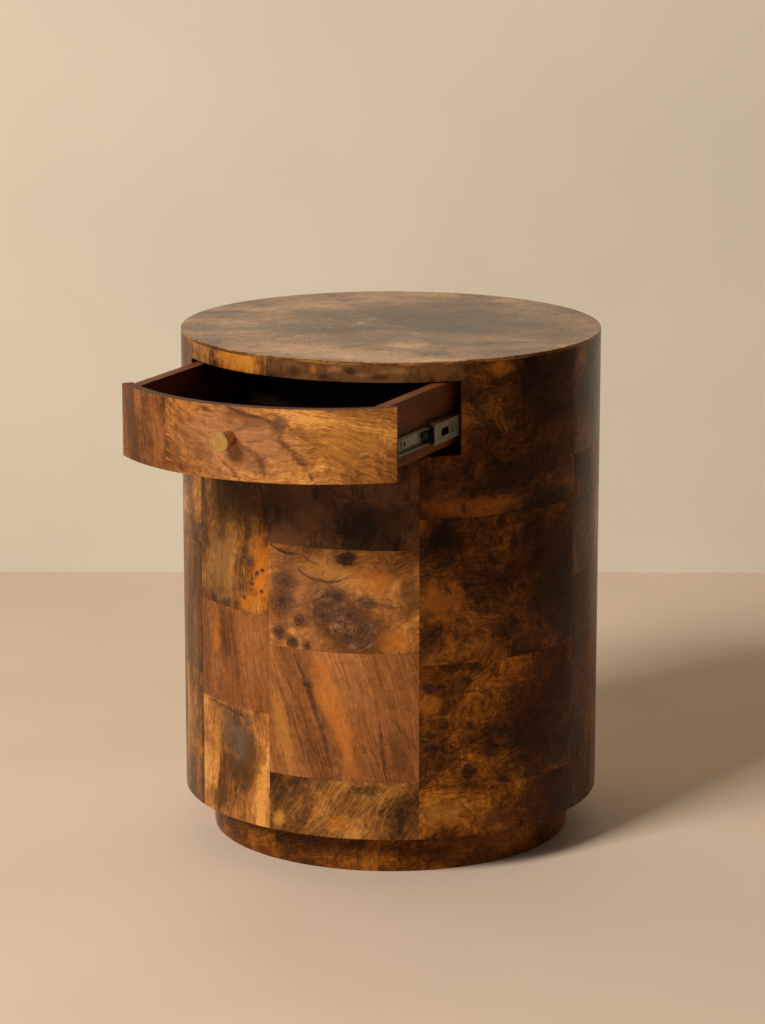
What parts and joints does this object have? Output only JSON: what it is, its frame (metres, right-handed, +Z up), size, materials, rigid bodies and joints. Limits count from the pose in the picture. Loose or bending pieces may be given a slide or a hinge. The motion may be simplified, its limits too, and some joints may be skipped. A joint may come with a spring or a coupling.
{
  "type": "drum side table",
  "caption": "Round drum side table in patchwork burl veneer on a recessed plinth, with a bowed drawer on telescopic ball-bearing slides and a small brass knob.",
  "frame": {"origin": "on the floor at the drum's axis", "axes": "+Z up, the drawer opens towards -Y, +X to the right of someone facing the drawer front"},
  "size_m": [0.45, 0.622, 0.55],
  "materials": {
    "burl_veneer": "burl veneer under satin lacquer",
    "top_veneer": "matched veneer under satin lacquer",
    "edge_band": "lacquered edge band",
    "plinth_veneer": "dark veneer under satin lacquer",
    "core_board": "stained board",
    "drawer_wood": "dark stained board",
    "zinc_steel": "zinc plated",
    "screw_steel": "zinc plated",
    "ball_steel": "polished",
    "cage_strip": "rolled strip",
    "black_plastic": "moulded black plastic",
    "brass": "satin lacquered brass"
  },
  "bodies": {
    "cabinet": {"drum_shell": "core_board", "top_panel": "core_board", "top_band": "edge_band", "top_veneer": "top_veneer", "bottom_panel": "core_board", "drawer_deck": "core_board", "slide_panel_left": "core_board", "slide_panel_right": "core_board", "bay_back": "core_board", "plinth_ring": "core_board", "plinth_veneer": "plinth_veneer", "plinth_blocks": "core_board", "veneer_column_1": "burl_veneer", "veneer_column_2": "burl_veneer", "veneer_column_3": "burl_veneer", "veneer_column_4": "burl_veneer", "veneer_column_5": "burl_veneer", "veneer_column_6": "burl_veneer", "veneer_column_7": "burl_veneer", "veneer_column_8": "burl_veneer", "slide_cabinet_left": "zinc_steel", "slide_cabinet_right": "zinc_steel", "cabinet_slide_screws": "screw_steel"},
    "drawer": {"drawer_front": "drawer_wood", "drawer_front_veneer": "burl_veneer", "drawer_side_left": "drawer_wood", "drawer_side_right": "drawer_wood", "drawer_back": "drawer_wood", "drawer_bottom": "drawer_wood", "slide_drawer_left": "zinc_steel", "slide_drawer_right": "zinc_steel", "drawer_slide_screws": "screw_steel", "drawer_back_screws": "screw_steel", "knob": "brass", "knob_screw": "screw_steel", "lever_pins": "screw_steel"},
    "slide_middle_left": {"slide_middle_left": "zinc_steel"},
    "outer_cage_left": {"outer_cage_left": "cage_strip", "outer_balls_left": "ball_steel"},
    "inner_cage_left": {"inner_cage_left": "cage_strip", "inner_balls_left": "ball_steel"},
    "release_lever_left": {"release_lever_left": "black_plastic"},
    "slide_middle_right": {"slide_middle_right": "zinc_steel"},
    "outer_cage_right": {"outer_cage_right": "cage_strip", "outer_balls_right": "ball_steel"},
    "inner_cage_right": {"inner_cage_right": "cage_strip", "inner_balls_right": "ball_steel"},
    "release_lever_right": {"release_lever_right": "black_plastic"}
  },
  "joints": [
    {"name": "drawer_slide", "type": "slide", "parent": "cabinet", "child": "drawer", "axis": [0, -1, 0], "range_m": [-0.15, 0.04]},
    {"name": "slide_middle_left_run", "type": "slide", "parent": "cabinet", "child": "slide_middle_left", "axis": [0, -1, 0], "range_m": [-0.075, 0.02]},
    {"name": "outer_cage_left_run", "type": "slide", "parent": "cabinet", "child": "outer_cage_left", "axis": [0, -1, 0], "range_m": [-0.0375, 0.01]},
    {"name": "inner_cage_left_run", "type": "slide", "parent": "cabinet", "child": "inner_cage_left", "axis": [0, -1, 0], "range_m": [-0.1125, 0.03]},
    {"name": "release_lever_left_tilt", "type": "hinge", "parent": "drawer", "child": "release_lever_left", "pos_m": [-0.1452, -0.20666, 0.4835], "axis": [-1, 0, 0], "range_deg": [0, 4], "stiffness_Nm_per_rad": 0.01},
    {"name": "slide_middle_right_run", "type": "slide", "parent": "cabinet", "child": "slide_middle_right", "axis": [0, -1, 0], "range_m": [-0.075, 0.02]},
    {"name": "outer_cage_right_run", "type": "slide", "parent": "cabinet", "child": "outer_cage_right", "axis": [0, -1, 0], "range_m": [-0.0375, 0.01]},
    {"name": "inner_cage_right_run", "type": "slide", "parent": "cabinet", "child": "inner_cage_right", "axis": [0, -1, 0], "range_m": [-0.1125, 0.03]},
    {"name": "release_lever_right_tilt", "type": "hinge", "parent": "drawer", "child": "release_lever_right", "pos_m": [0.1452, -0.20666, 0.4835], "axis": [1, 0, 0], "range_deg": [0, 4], "stiffness_Nm_per_rad": 0.01}
  ],
  "couplings": [
    {"joint": "slide_middle_left_run", "follows": "drawer_slide", "ratio": 0.5},
    {"joint": "outer_cage_left_run", "follows": "drawer_slide", "ratio": 0.25},
    {"joint": "inner_cage_left_run", "follows": "drawer_slide", "ratio": 0.75},
    {"joint": "slide_middle_right_run", "follows": "drawer_slide", "ratio": 0.5},
    {"joint": "outer_cage_right_run", "follows": "drawer_slide", "ratio": 0.25},
    {"joint": "inner_cage_right_run", "follows": "drawer_slide", "ratio": 0.75}
  ]
}
